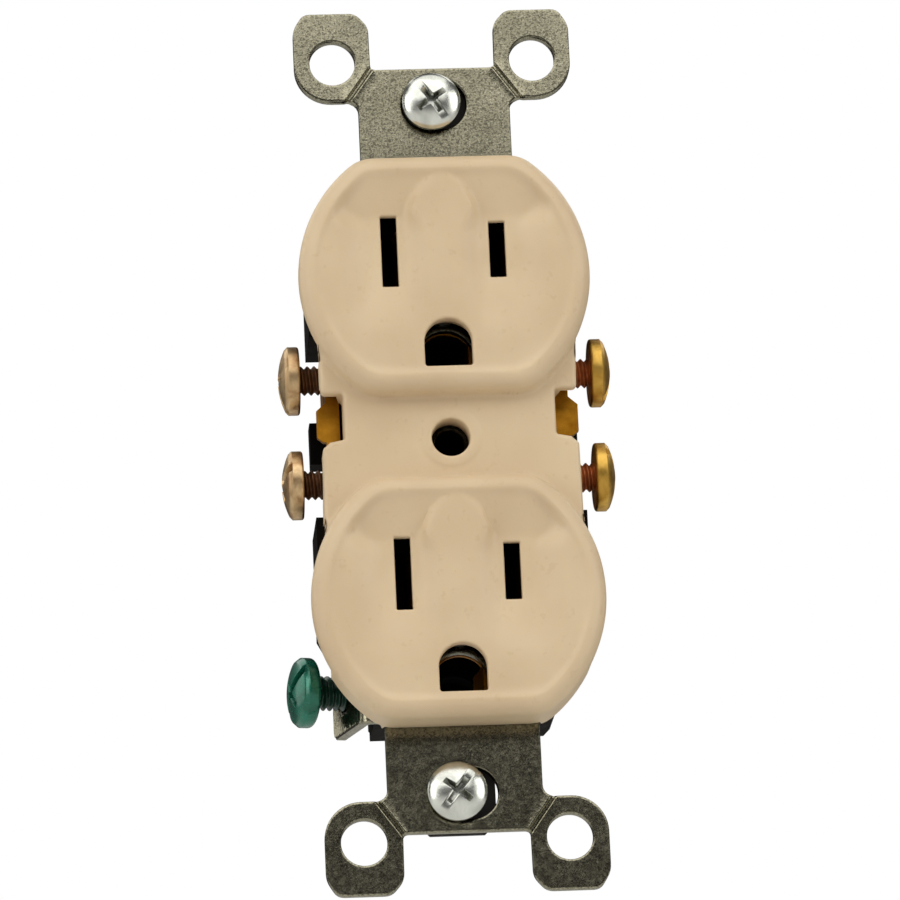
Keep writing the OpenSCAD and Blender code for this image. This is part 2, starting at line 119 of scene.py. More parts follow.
def resample(loop, step):
    """A closed polygon with no edge longer than step, keeping its corners."""
    out = []
    for i, p in enumerate(loop):
        q = loop[(i + 1) % len(loop)]
        n = max(1, int(math.ceil(math.hypot(q[0] - p[0], q[1] - p[1]) / step)))
        for k in range(n):
            out.append((p[0] + (q[0] - p[0]) * k / n, p[1] + (q[1] - p[1]) * k / n))
    return out


def inside(points, loop):
    """Which of the points lie inside a closed polygon."""
    p = np.asarray(points, float)
    a = np.asarray(loop, float)
    b = np.roll(a, -1, axis=0)
    hit = np.zeros(len(p), bool)
    for (x0, y0), (x1, y1) in zip(a, b):
        if y0 == y1:
            continue
        cross = (p[:, 1] >= min(y0, y1)) & (p[:, 1] < max(y0, y1))
        xs = x0 + (p[:, 1] - y0) * (x1 - x0) / (y1 - y0)
        hit ^= cross & (p[:, 0] < xs)
    return hit


def distance(points, loop, closed=True):
    """Distance from each point to a polyline."""
    p = np.asarray(points, float)
    a = np.asarray(loop, float)
    b = np.roll(a, -1, axis=0)
    if not closed:
        a, b = a[:-1], b[:-1]
    best = np.full(len(p), 1e9)
    for s, e in zip(a, b):
        d = e - s
        t = np.clip(((p - s) @ d) / max(d @ d, 1e-12), 0, 1)
        best = np.minimum(best, np.hypot(*(p - s - t[:, None] * d).T))
    return best


def smoothstep(x, a, b):
    t = np.clip((x - a) / (b - a), 0, 1)
    return t * t * (3 - 2 * t)


def round_off(d, width, depth):
    """Drop of a rounded edge at distance d from it: depth at the edge, none beyond width."""
    t = 1 - np.minimum(d, width) / width
    return depth * (1 - np.sqrt(np.clip(1 - t ** 2, 0, 1)))


def thinned(points, cell):
    """The points, with only the first kept in each square cell."""
    kept = {}
    for x, z in points:
        kept.setdefault((round(x / cell), round(z / cell)), (x, z))
    return list(kept.values())


def inner_rings(loop, offsets):
    """Points along a closed polygon, moved inside it by each of the offsets."""
    out = np.array(loop)
    along = np.roll(out, -1, 0) - np.roll(out, 1, 0)
    normal = np.c_[-along[:, 1], along[:, 0]] / np.maximum(np.hypot(*along.T), 1e-9)[:, None]
    if not inside(out[5:6] + 0.01 * normal[5:6], loop)[0]:
        normal = -normal
    points = []
    for off in offsets:
        ring = out + off * normal
        points += [tuple(q) for q in ring[distance(ring, loop) > off * 0.9]]
    return points


def mesh_object(name, verts, faces):
    mesh = bpy.data.meshes.new(name)
    mesh.from_pydata([tuple(v) for v in verts], [], [list(f) for f in faces])
    mesh.validate()
    obj = bpy.data.objects.new(name, mesh)
    bpy.context.scene.collection.objects.link(obj)
    return obj


def new_object(name, verts, faces, body, node, slot, smooth):
    """A mesh object in the row frame, riding on a body. verts are in mm."""
    obj = mesh_object(name, [tuple(c * MM for c in v) for v in verts], faces)
    finish_object(obj, body, node, slot, smooth)
    return obj


def shade(obj, angle):
    """Smooth shading, with edges sharper than the angle left crisp."""
    bm = bmesh.new()
    bm.from_mesh(obj.data)
    bmesh.ops.recalc_face_normals(bm, faces=bm.faces)
    limit = math.radians(angle)
    for f in bm.faces:
        f.smooth = True
    for e in bm.edges:
        e.smooth = len(e.link_faces) == 2 and e.calc_face_angle(0) < limit
    bm.to_mesh(obj.data)
    bm.free()


def finish_object(obj, body, node, slot, smooth):
    """Shading, and the body it rides on, the CAD node it stands for and its material slot."""
    shade(obj, smooth)
    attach(obj, body)
    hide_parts(node)
    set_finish(obj, slot)


def sheet_mesh(outer, holes, extra, front, back, grid, lines=()):
    """A closed plate in X and Z: outer loop, hole loops, extra inner points, a grid, and front and
    back heights (in front of y = 0) as functions of points. No edge crosses the open lines, which
    hold the steps in the heights. Returns verts and faces in mm."""
    loops = [outer] + list(holes)
    pts, edges = [], []
    for loop in loops:
        k = len(pts)
        pts += list(loop)
        edges += [(k + i, k + (i + 1) % len(loop)) for i in range(len(loop))]
    for line in lines:
        k = len(pts)
        pts += list(line)
        edges += [(k + i, k + i + 1) for i in range(len(line) - 1)]
    xs = np.arange(min(p[0] for p in outer), max(p[0] for p in outer), grid)
    zs = np.arange(min(p[1] for p in outer), max(p[1] for p in outer), grid)
    gx, gz = np.meshgrid(xs, zs)
    gx = gx + (np.arange(gx.shape[0])[:, None] % 2) * grid / 2
    cand = np.c_[gx.ravel(), gz.ravel()]
    fine = np.array(extra, float)
    # grid points that crowd a finer point are dropped
    cell = {}
    for x, z in fine:
        cell.setdefault((int(x // grid), int(z // grid)), []).append((x, z))
    keep = []
    for x, z in cand:
        cx, cz = int(x // grid), int(z // grid)
        near = any((x - a) ** 2 + (z - b) ** 2 < (0.45 * grid) ** 2
                   for u in (-1, 0, 1) for v in (-1, 0, 1)
                   for a, b in cell.get((cx + u, cz + v), ()))
        keep.append(not near)
    for block, gap in ((fine, 0.03), (cand[np.array(keep)], 0.12)):
        ok = inside(block, outer)
        for hole in holes:
            ok &= ~inside(block, hole)
        block = block[ok]
        d = np.full(len(block), 1e9)
        for loop in loops:
            d = np.minimum(d, distance(block, loop))
        pts += [tuple(p) for p in block[d > gap]]
    res = delaunay_2d_cdt([Vector(p) for p in pts], edges, [], 0, 1e-6)
    v2 = np.array([(v.x, v.y) for v in res[0]])
    tris = np.array([f for f in res[2] if len(f) == 3])
    mid = v2[tris].mean(axis=1)
    ok = inside(mid, outer)
    for hole in holes:
        ok &= ~inside(mid, hole)
    tris = tris[ok]
    # walls run along the triangles' open edges
    sides = dict.fromkeys((t[i], t[(i + 1) % 3]) for t in tris for i in range(3))
    rim = [(a, b) for a, b in sides if (b, a) not in sides]
    n = len(v2)
    yf, yb = front(v2), back(v2)
    verts = [(p[0], -h, p[1]) for p, h in zip(v2, yf)] + [(p[0], -h, p[1]) for p, h in zip(v2, yb)]
    faces = [tuple(int(i) for i in t) for t in tris]
    faces += [(int(t[2]) + n, int(t[1]) + n, int(t[0]) + n) for t in tris]
    faces += [(int(b), int(a), int(a) + n, int(b) + n) for a, b in rim]
    return verts, faces


# ---------------------------------------------------------------- the outlet faces' height
def outlet_inset(p, k=0.9):
    """Distance inside an outlet's outline, with the corners where circle meets flat eased."""
    a = OUTLET_R - np.hypot(p[:, 0], p[:, 1])
    b = OUTLET_FLAT - np.abs(p[:, 1])
    h = np.clip(0.5 + 0.5 * (b - a) / k, 0, 1)
    return b * (1 - h) + a * h - k * h * (1 - h)


def outlet_loop(level, n):
    """The outlet's outline moved in by level, by its own inset measure."""
    t = np.linspace(0, 2 * math.pi, n, endpoint=False) + math.pi / 2
    lo, hi = np.zeros(n), np.full(n, 20.0)
    for _ in range(40):
        mid = (lo + hi) / 2
        p = np.c_[mid * np.cos(t), mid * np.sin(t)]
        more = outlet_inset(p) > level
        lo, hi = np.where(more, mid, lo), np.where(more, hi, mid)
    return np.c_[lo * np.cos(t), lo * np.sin(t)]


def rim_profile():
    """Distances inside the outline and an outlet's height there: rounded rim, then the face."""
    d = np.linspace(0, 8, 1601)
    h = FACE - round_off(d, RIM_W, RIM_DROP) - DISH * smoothstep(d, 1.8, 2.6)
    kernel = np.exp(-np.linspace(-2.5, 2.5, 61) ** 2)
    soft = np.convolve(np.pad(h, 30, mode="edge"), kernel / kernel.sum(), mode="valid")
    return d, np.where(d > 1.0, soft, h)


PROFILE = rim_profile()


def face_field(p):
    """Extra depth of an outlet's face: a channel round each slot, with a bullet-shaped ridge between
    the two. Above the slots the channels slope up to the rim."""
    x, w = np.abs(p[:, 0]), p[:, 1]
    # the ridge's foot in plan, straight sides and then an arch, and the width of its flank
    foot = 4.75 * (1 - np.clip((w - 5.4) / 6.8, 0, 1) ** 2) ** 0.6
    width = 2.7 - 1.9 * smoothstep(w, 4.5, 8.5)
    flank = np.clip((x - foot + width) / width, 0, 1)
    flank = 0.5 * flank + 0.5 * flank * flank * (3 - 2 * flank)
    wide = 2.2 * smoothstep(w, 5.0, 9.0)
    outer = 1.0 - smoothstep(x - wide, 8.4, 12.6)
    ramp = np.clip((12.3 - w) / 5.3, 0, 1)
    low = 0.15 + 0.85 * smoothstep(w, -8.0, 1.0)
    return SCOOP * flank * outer * ramp * low


def outlet_height(p):
    """Height of an outlet's front at local points."""
    d = outlet_inset(p)
    return np.interp(d, *PROFILE) - face_field(p) * smoothstep(d, 1.8, 3.0)


# ---------------------------------------------------------------- the cover
def cover_outline():
    """The cover's outline: one outlet's round side, the notch, its mirror below, then the left half."""
    top = outlet_loop(0.0, 400)
    right = top[(top[:, 0] > 0)]
    order = np.argsort(-np.degrees(np.arctan2(right[:, 1], right[:, 0])))
    right = right[order]                     # from the top middle clockwise
    keep = ~((right[:, 1] < 0) & (right[:, 0] < BRIDGE_X))
    upper = [(x, z + OUTLET_Z) for x, z in right[keep]]
    lower = [(x, -z) for x, z in upper[::-1]]
    side = [(BRIDGE_X, NOTCH_Z[1] + 0.55)]
    side += arc(BRIDGE_X - 0.55, NOTCH_Z[1] + 0.55, 0.55, 0, -90, 5)[1:]
    side += arc(NOTCH_X + 0.35, NOTCH_Z[1] - 0.35, 0.35, 90, 180, 4)
    side += arc(NOTCH_X + 0.35, NOTCH_Z[0] + 0.35, 0.35, 180, 270, 4)
    side += [(14.1, NOTCH_Z[0] - 0.25)]
    side += arc(14.3, -1.25, 0.7, 65, 0, 4)
    half = upper + side + lower
    full = half + [(-x, z) for x, z in half[::-1]]
    clean = [full[0]]
    for p in full[1:]:
        if math.hypot(p[0] - clean[-1][0], p[1] - clean[-1][1]) > 0.04:
            clean.append(p)
    return resample(clean[::-1], 0.45)


def rounded_rect(cx, cz, hw, hh, r, n=4):
    """A rectangle with half width hw, half height hh and corners of radius r."""
    loop = []
    for k, (sx, sz) in enumerate(((1, 1), (-1, 1), (-1, -1), (1, -1))):
        loop += arc(cx + sx * (hw - r), cz + sz * (hh - r), r, 90 * k, 90 * k + 90, n)
    return loop


def u_hole(cz, e=0.0):
    """The ground pin's hole, grown by e."""
    r = GROUND_R + e
    lip = 0.35 + e
    zs = cz + GROUND_SILL - e
    return (arc(0, cz + GROUND_ARCH, r, 0, 180, 26) + arc(-r + lip, zs + lip, lip, 180, 270, 4)
            + arc(r - lip, zs + lip, lip, 270, 360, 4))


def cover_holes(e=0.0):
    """Blade slots, ground holes and the centre hole, all grown by e."""
    holes = []
    for s in (1, -1):
        for x, hw, hh in BLADE_SLOTS:
            slot = rounded_rect(x, s * OUTLET_Z + BLADE_UP, hw + e, hh + e, 0.14 + e)
            holes.append(resample(slot, 0.4))
        holes.append(resample(u_hole(s * OUTLET_Z, e), 0.4))
    holes.append(arc(0, 0, CENTRE_R + e, 0, 360, 56)[:-1])
    return holes


COVER_OUT = cover_outline()
HOLES = cover_holes()


def cover_front(p):
    """Height of the cover's front: the bridge, the outlets that rise from it, and soft hole edges."""
    h = BRIDGE - round_off(distance(p, COVER_OUT), 0.5, 0.5)
    # a low round pad around the centre hole
    rad = np.hypot(p[:, 0], p[:, 1])
    h = h + 0.12 * (1 - smoothstep(rad, 3.3, 3.7))
    for s in (1, -1):
        q = p - np.array([0, s * OUTLET_Z])
        d = outlet_inset(q)
        foot = 0.55 * np.exp(np.clip(d, -3, 0) / 0.16)       # fillet at the foot of the wall
        h = np.where(d < 0, h + foot * (d > -0.9), h)
        h = np.where(d >= -1e-4, np.maximum(outlet_height(q), h), h)
    for hole in HOLES:
        h = h - round_off(distance(p, hole), 0.28, 0.26)
    return h


def cover_back(p):
    """Height of the cover's back: hollows, bosses, and gaps for the strap, wing, tabs and screws."""
    x, z = np.abs(p[:, 0]), p[:, 1]
    h = np.where((distance(p, COVER_OUT) > COVER_WALL) & (np.abs(z) < 13), BRIDGE_HOLLOW, 0.0)
    for s in (1, -1):
        q = p - np.array([0, s * OUTLET_Z])
        hollow = (outlet_inset(q) > COVER_WALL) & (x < BRIDGE_X - COVER_WALL)
        h = np.where(hollow, FACE_HOLLOW, h)
        boss = np.hypot(q[:, 0], q[:, 1] - BLADE_UP) < BOSS_R
        h = np.where(boss, SEAT, h)
        # a collar round the ground hole, thin at its mouth
        h = np.where(inside(p, u_hole(s * OUTLET_Z, PIN_COLLAR)), np.minimum(h, 2.5), h)
        h = np.where(inside(p, u_hole(s * OUTLET_Z, PIN_LIP)), FACE - 1.6, h)
        # the round sides overhang the narrower walls behind them
        h = np.where((x > BRIDGE_X) & (np.abs(q[:, 1]) < 10), BRIDGE, h)
    h = np.where(np.hypot(x, z) < CENTRE_BOSS_R, SEAT, h)
    neck = (x < NECK_X + 0.12) & (np.abs(z) > 31)
    h = np.where(neck, np.maximum(h, SEAT), h)
    wing = (p[:, 0] < -8.9) & (z > WING_Z[0] - 0.5) & (z < WING_Z[1] + 0.5)
    h = np.where(wing, np.maximum(h, 1.6), h)
    # the side wall stops short of the notches and of the terminal screws' heads
    by_notch = (x > 13.1) & (z > NOTCH_Z[0] - NOTCH_RELIEF) & (z < NOTCH_Z[1] + NOTCH_RELIEF)
    h = np.where(by_notch, np.maximum(h, BRIDGE - NOTCH_LIP), h)
    for up in (1, -1):
        dz = z - (BLADE_UP + up * TERMINAL_DZ)
        dip = np.sqrt(np.clip(4.4 ** 2 - dz ** 2, 0, None)) - 2.9
        h = np.where(x > HEAD_RELIEF_X, np.maximum(h, dip), h)
    return h


# how many points an outlet's rings have, and how far inside its outline they lie
RINGS = ((200, (-0.85, -0.55, -0.35, -0.2)), (400, (-0.08, 0.0, 0.06, 0.14, 0.26)),
         (200, (0.42, 0.62, 0.87, 1.15, 1.45, 1.76, 1.83, 2.0, 2.2, 2.4)), (160, (2.6, 2.9)),
         (140, (3.3,)), (130, (3.8,)), (120, (4.3,)))


def build_cover():
    """The cover's mesh, with points close together wherever its height bends or steps."""
    extra = []
    for s in (1, -1):
        shift = np.array([0, s * OUTLET_Z])
        for count, levels in RINGS:
            for level in levels:
                extra += [tuple(q) for q in outlet_loop(level, count) + shift]
        extra += resample(rounded_rect(0, s * OUTLET_Z + BLADE_UP, 3.1, 3.1, 3.05, 8), 0.6)
        extra += resample(rounded_rect(0, s * OUTLET_Z + BLADE_UP, 3.16, 3.16, 3.1, 8), 0.6)
        for e in (PIN_LIP - 0.02, PIN_LIP + 0.02, PIN_COLLAR - 0.03, PIN_COLLAR + 0.03):
            extra += resample(u_hole(s * OUTLET_Z, e), 0.5)
        for x in (BRIDGE_X - COVER_WALL - 0.03, BRIDGE_X - COVER_WALL + 0.03):
            extra += [(k * x, s * OUTLET_Z + z) for z in np.arange(-10, 10.1, 0.4) for k in (1, -1)]
    # rings round each hole, for its rounded edge
    for e in (0.04, 0.1, 0.18, 0.28, 0.42):
        for hole in cover_holes(e):
            extra += hole
    for r in (3.3, 3.5, 3.7, 4.0, 4.05):
        extra += arc(0, 0, r, 0, 360, 56)[:-1]
    # loops just inside the outline, for the rounded edge
    extra += [q for q in inner_rings(COVER_OUT, (0.05, 0.15, 0.3, 0.5)) if abs(q[1]) < 12.5]
    # lines either side of each step in the back
    lines = []
    for k in (1, -1):
        for d in (-0.02, 0.02):
            for s in (1, -1):
                lines.append([(k * (BRIDGE_X + d), s * OUTLET_Z + z) for z in np.linspace(-7.5, 7.5, 38)])
            for z0, z1 in ((-6.8, -1.3), (7.0, 9.3), (10.5, 12.4)):
                lines.append([(k * (HEAD_RELIEF_X + d), z) for z in np.linspace(z0, z1, 8)])
            for z in (NOTCH_Z[0] - NOTCH_RELIEF + d, NOTCH_Z[1] + NOTCH_RELIEF + d):
                lines.append([(k * x, z) for x in np.linspace(13.2, 14.9, 6)])
    # other points keep clear of those lines
    x, z = np.array(extra).T
    free = np.full(len(x), True)
    for away in (abs(x) - BRIDGE_X, abs(x) - HEAD_RELIEF_X, z - NOTCH_Z[0] + NOTCH_RELIEF,
                 z - NOTCH_Z[1] - NOTCH_RELIEF):
        free &= abs(away) > 0.04
    verts, faces = sheet_mesh(COVER_OUT, HOLES, thinned(np.array(extra)[free], 0.02), cover_front,
                              cover_back, 0.55, lines=lines)
    return new_object("cover_moulding", verts, faces, "housing", "face_cover", "ivory_plastic", 38)


# ---------------------------------------------------------------- the strap
def eased(points, r, n=4):
    """An open outline whose inner corners are rounded off over a length r along each side."""
    out = [points[0]]
    for a, b, c in zip(points[:-2], points[1:-1], points[2:]):
        a, b, c = np.array(a), np.array(b), np.array(c)
        k1 = min(r, np.hypot(*(a - b)) / 2)
        k2 = min(r, np.hypot(*(c - b)) / 2)
        p = b + (a - b) / np.hypot(*(a - b)) * k1
        q = b + (c - b) / np.hypot(*(c - b)) * k2
        for t in np.linspace(0, 1, n + 1):
            out.append(tuple((1 - t) ** 2 * p + 2 * t * (1 - t) * b + t * t * q))
    return out + [points[-1]]


def ear_half():
    """Right half of the strap's upper end, from the neck out and back to the middle."""
    neck = [(NECK_X, 40.9)] + arc(NECK_X + 1.3, 41.0, 1.3, 180, 90, 5)
    neck += arc(12.15, 46.6, 4.3, -90, 0, 12)
    corner = [(16.45, 47.4), (16.45, 51.3), (15.2, 53.3), (8.95, 53.3), (7.45, 51.6), (7.4, 46.95)]
    return neck + eased(corner, 0.8) + arc(6.75, 46.85, 0.65, 0, -90, 4)


def strap_outline():
    """The strap's blank before the wing is folded, with no long edge left unsplit."""
    up = ear_half()
    top = up + [(-x, z) for x, z in up[::-1]]     # ends at the left neck
    tip = WING_FLAT_X - WING_LEN
    web = [(-NECK_X, 31.0), (-NECK_X, 29.4), (-WEB_X, 29.4), (-WEB_X, -23.2), (-9.6, -23.2),
           (-9.9, WING_Z[1])]
    wing = [(tip + 0.9, WING_Z[1]), (tip, WING_Z[1] - 0.9), (tip, WING_Z[0] + 0.9),
            (tip + 0.9, WING_Z[0]), (-NECK_X, WING_Z[0])]
    bottom = [(x, -z) for x, z in top[::-1]]      # from the left neck round to the right one
    right = [(NECK_X, -23.4), (WEB_X, -23.4), (WEB_X, 29.4), (NECK_X, 29.4)]
    return resample(top + web + wing + bottom + right, 0.38)


def slot_loop(z, e=0.0):
    """A mounting slot at height z, grown by e."""
    return arc(SLOT_HALF, z, SLOT_R + e, -90, 90, 18) + arc(-SLOT_HALF, z, SLOT_R + e, 90, 270, 18)


def strap_hole_loops(e=0.0):
    """The holes in the strap's blank, all grown by e."""
    loops = []
    for s in (1, -1):
        loops.append(slot_loop(s * MOUNT_Z, e))
        for x in (-EAR_X, EAR_X):
            loops.append(arc(x, s * EAR_Z, EAR_HOLE_R + e, 0, 360, 44)[:-1])
        loops.append(arc(0, s * OUTLET_Z - 9, CONTACT_WINDOW_R + e, 0, 360, 40)[:-1])
    loops.append(arc(0, 0, TAPPED_R + e, 0, 360, 32)[:-1])
    loops.append(arc(WING_FLAT_X - GROUND_SCREW_AT, WING_MID, 2.11 + e, 0, 360, 32)[:-1])
    return loops


# ends of the four scored lines that the ears break off along
SCORES = [((sx * 7.25, sz * 46.45), (sx * 10.25, sz * 42.3)) for sx in (1, -1) for sz in (1, -1)]


def strap_front(p):
    """Height of the strap's front: rounded edges, scored lines, serrations and a countersink."""
    edge = distance(p, STRAP_OUT)
    for hole in STRAP_HOLES:
        edge = np.minimum(edge, distance(p, hole))
    h = STRAP_T - round_off(edge, 0.16, 0.16)
    for a, b in SCORES:
        d = distance(p, [a, b], closed=False)
        h = h - 0.22 * (1 - smoothstep(d, 0.1, 0.28)) + 0.04 * np.exp(-((d - 0.4) / 0.08) ** 2)
    # serrations 1 mm apart on the wing, around the ground screw
    s = WING_FLAT_X - p[:, 0]
    zone = (s > 0.5) & (s < 9.2) & (np.abs(p[:, 1] - WING_MID) < 4.4)
    tooth = np.abs(s % 1.0 - 0.5) * 2
    h = h + np.where(zone, 0.2 * tooth - 0.1, 0)
    # a shallow countersink opens the tapped hole
    rad = np.hypot(p[:, 0], p[:, 1])
    return h - 0.35 * (1 - smoothstep(rad, TAPPED_R, 1.85))


def strap_back(p):
    """Height of the strap's back: rounded edges, scored lines and the tapped collar."""
    h = round_off(distance(p, STRAP_OUT), 0.1, 0.1)
    for a, b in SCORES:
        h = h + 0.22 * (1 - smoothstep(distance(p, [a, b], closed=False), 0.1, 0.3))
    # the collar that the plate's screw is tapped through stands out at the back
    rad = np.hypot(p[:, 0], p[:, 1])
    return np.where(rad < 2.62, -1.8 + 0.25 * smoothstep(rad, 2.2, 2.62), h)


def bend_wing(verts):
    """Folds the flat blank's wing back about the bend's axis."""
    r_mid = WING_R + STRAP_T / 2
    out = []
    for x, y, z in verts:
        s = WING_X - x
        if s <= 0 or not WING_Z[0] - 0.1 < z < WING_Z[1] + 0.1:
            out.append((x, y, z))
            continue
        a = min(s / r_mid, WING_BEND)
        rest = max(0.0, s - r_mid * WING_BEND)
        rad = WING_R - y                       # y is 0 at the rear and -STRAP_T in front
        cx, cy = WING_X, WING_R
        px, py = cx - rad * math.sin(a), cy - rad * math.cos(a)
        px, py = px - rest * math.cos(a), py + rest * math.sin(a)
        out.append((px, py, z))
    return out


STRAP_OUT = strap_outline()
STRAP_HOLES = strap_hole_loops()


def build_strap():
    """The strap's mesh, made flat and then folded at the wing."""
    extra = []
    for e in (0.06, 0.16, 0.3):
        for loop in strap_hole_loops(e):
            extra += loop
    for r in (2.6, 2.65, 1.6, 1.85, 2.2):
        extra += arc(0, 0, r, 0, 360, 36)[:-1]
    extra += inner_rings(STRAP_OUT, (0.06, 0.16, 0.32))
    for a, b in SCORES:
        a, b = np.array(a), np.array(b)
        u = (b - a) / np.hypot(*(b - a))
        v = np.array([-u[1], u[0]])
        for t in np.arange(0, np.hypot(*(b - a)), 0.3):
            for off in (-0.6, -0.46, -0.36, -0.28, -0.2, -0.1, 0.1, 0.2, 0.28, 0.36, 0.46, 0.6):
                extra.append(tuple(a + u * t + v * off))
    for x in WING_FLAT_X - np.arange(0, 10, 0.25):
        extra += [(x, z) for z in np.arange(WING_MID - 4.35, WING_MID + 4.36, 0.58)]
    for x in np.arange(WING_FLAT_X, WING_X + 0.3, 0.12):
        extra += [(x, z) for z in np.arange(WING_Z[0] + 0.3, WING_Z[1], 0.5)]
    verts, faces = sheet_mesh(STRAP_OUT, STRAP_HOLES, thinned(extra, 0.05), strap_front, strap_back, 0.8)
    return new_object("strap_stamping", bend_wing(verts), faces, "housing", "mounting_strap",
                      "galvanised_steel", 28)


# ---------------------------------------------------------------- screws
def lathe(profile, n=80):
    """Closed surface of revolution about Z. profile is (r, z) from one axis point to the other."""
    verts, faces, rings = [], [], []
    for r, z in profile:
        if r < 1e-6:
            rings.append([len(verts)])
            verts.append((0, 0, z))
        else:
            rings.append(list(range(len(verts), len(verts) + n)))
            for k in range(n):
                a = 2 * math.pi * k / n
                verts.append((r * math.cos(a), r * math.sin(a), z))
    for a, b in zip(rings[:-1], rings[1:]):
        for k in range(n):
            j = (k + 1) % n
            if len(a) == 1:
                faces.append((a[0], b[k], b[j]))
            elif len(b) == 1:
                faces.append((a[k], b[0], a[j]))
            else:
                faces.append((a[k], b[k], b[j], a[j]))
    return verts, faces


def head_profile(r, h, dome, edge):
    """A screw head from the middle of its underside to the top of its dome."""
    ball = (r * r + dome * dome) / (2 * dome)      # radius of the sphere that the dome is part of
    profile = [(0, 0), (r * 0.55, 0), (r - edge, 0)]
    for a in np.linspace(0.2, math.pi / 2, 5):
        profile.append((r - edge + edge * math.sin(a), edge - edge * math.cos(a)))
    profile.append((r, max(h - dome - edge * 0.6, edge + 0.05)))
    for t in np.linspace(0.1, 1, 14):
        a = (1 - t) * math.asin(min(1.0, r / ball))
        ring_r, z = ball * math.sin(a), h - ball + ball * math.cos(a)
        if t < 0.25:
            ring_r = min(ring_r, r - edge * 0.35)
        profile.append((ring_r if t < 1 else 0, z))
    return profile


def threaded_rod(r, depth, z0, z1, n=36, per=10):
    """A threaded rod about Z as level rings, so that both ends close with a fan."""
    zs = np.linspace(z0, z1, int((z1 - z0) / PITCH * per) + 1)
    verts = [(0, 0, z0)]
    for z in zs:
        fade = min(1.0, (z - z0) / (0.8 * PITCH))
        for k in range(n):
            turn = (z / PITCH - k / n) % 1.0
            wave = np.interp(turn, [0, 0.1, 0.45, 0.6, 0.95, 1.0], [0, 0, 1, 1, 0, 0])
            here = r - depth * (1 - float(wave) * fade)
            a = 2 * math.pi * k / n
            verts.append((here * math.cos(a), here * math.sin(a), z))
    verts.append((0, 0, z1))
    faces = [(0, 1 + (k + 1) % n, 1 + k) for k in range(n)]
    for i in range(len(zs) - 1):
        for k in range(n):
            a, b = 1 + i * n + k, 1 + i * n + (k + 1) % n
            faces.append((a, b, b + n, a + n))
    top = 1 + (len(zs) - 1) * n
    faces += [(len(verts) - 1, top + k, top + (k + 1) % n) for k in range(n)]
    return verts, faces


def cutter_box(lx, ly, lz, at, turn=0.0, taper=1.0):
    """A box for cutting, with its top at the given height, narrower at the bottom by taper."""
    v = []
    for sx, sy in ((-1, -1), (1, -1), (1, 1), (-1, 1)):
        for k, sz in ((1.0, 1), (taper, 0)):
            x, y = sx * lx / 2 * k, sy * ly / 2 * k
            v.append((x * math.cos(turn) - y * math.sin(turn) + at[0],
                      x * math.sin(turn) + y * math.cos(turn) + at[1], at[2] - (0 if sz else lz)))
    f = [(0, 2, 4, 6), (7, 5, 3, 1), (0, 1, 3, 2), (2, 3, 5, 4), (4, 5, 7, 6), (6, 7, 1, 0)]
    return mesh_object("cutter", v, f)


def cut(obj, cutters):
    """Cuts each cutter's shape out of the object and removes the cutter."""
    for c in cutters:
        m = obj.modifiers.new("cut", "BOOLEAN")
        m.operation, m.solver, m.object = "DIFFERENCE", "EXACT", c
        bake_modifiers(obj)
        bpy.data.objects.remove(c)


def bake_modifiers(obj):
    """Puts the mesh that the object's modifiers make in the place of its own."""
    deps = bpy.context.evaluated_depsgraph_get()
    deps.update()
    mesh = bpy.data.meshes.new_from_object(obj.evaluated_get(deps))
    obj.modifiers.clear()
    old = obj.data
    obj.data = mesh
    bpy.data.meshes.remove(old)


def bevel(obj, width, angle=30):
    """Rounds the edges sharper than the angle, in two steps."""
    m = obj.modifiers.new("bevel", "BEVEL")
    m.width, m.segments, m.limit_method, m.angle_limit = width, 2, "ANGLE", math.radians(angle)
    bake_modifiers(obj)


def join(objs, name):
    """Joins the objects' meshes in the first of them."""
    target = objs[0]
    bm = bmesh.new()
    for o in objs:
        part = o.data.copy()
        part.transform(o.matrix_world)
        bm.from_mesh(part)
        bpy.data.meshes.remove(part)
    bm.to_mesh(target.data)
    bm.free()
    target.matrix_world = Matrix.Identity(4)
    for o in objs[1:]:
        bpy.data.objects.remove(o)
    target.name = name
    target.data.name = name
    return target


def build_screw(name, body, node, slot, place, r, length, head, recess, turn):
    """A screw along -Z with the underside of its head at 0, then set in place by a matrix. r and
    length are the thread's, and head is its radius, height, dome and edge."""
    head_r, head_h, dome, edge = head
    top = mesh_object(name + "_head", *lathe(head_profile(head_r, head_h, dome, edge)))
    if recess == "combo":
        cutters = [cutter_box(2 * head_r + 1, 1.0, 1.0, (0, 0, head_h + 0.35), turn),
                   cutter_box(head_r * 1.35, 0.85, 2.0, (0, 0, head_h + 0.3), turn, 0.5),
                   cutter_box(0.85, head_r * 1.35, 2.0, (0, 0, head_h + 0.3), turn, 0.5),
                   cutter_box(1.7, 1.7, 1.7, (0, 0, head_h + 0.3), turn + math.pi / 4, 0.35)]
    else:
        cutters = [cutter_box(2 * head_r + 1, 1.05, 1.5, (0, 0, head_h + 0.3), turn),
                   cutter_box(0.9, head_r * 1.2, 1.6, (0, 0, head_h + 0.3), turn, 0.6)]
    cut(top, cutters)
    bevel(top, 0.07, 35)
    depth = 0.32 if r < 1.9 else 0.36
    rod = mesh_object(name + "_rod", *threaded_rod(r - 0.01, depth, -length, 0.06))
    obj = join([top, rod], name)
    # marks the thread for its material
    mask = obj.data.attributes.new("thread", "FLOAT", "POINT")
    mask.data.foreach_set("value", [float(v.co.z < 0.02 and math.hypot(v.co.x, v.co.y) < r + 0.1)
                                    for v in obj.data.vertices])
    obj.data.transform(Matrix.Scale(MM, 4))
    obj.data.transform(place)
    finish_object(obj, body, node, slot, 32)
    return obj


def place_matrix(origin, out):
    """Local Z along out, which is level, with the origin in mm."""
    z = Vector(out).normalized()
    x = Vector((0, 0, 1)).cross(z).normalized()
    m = Matrix((x, z.cross(x), z)).transposed().to_4x4()
    m.translation = Vector(origin) * MM
    return m


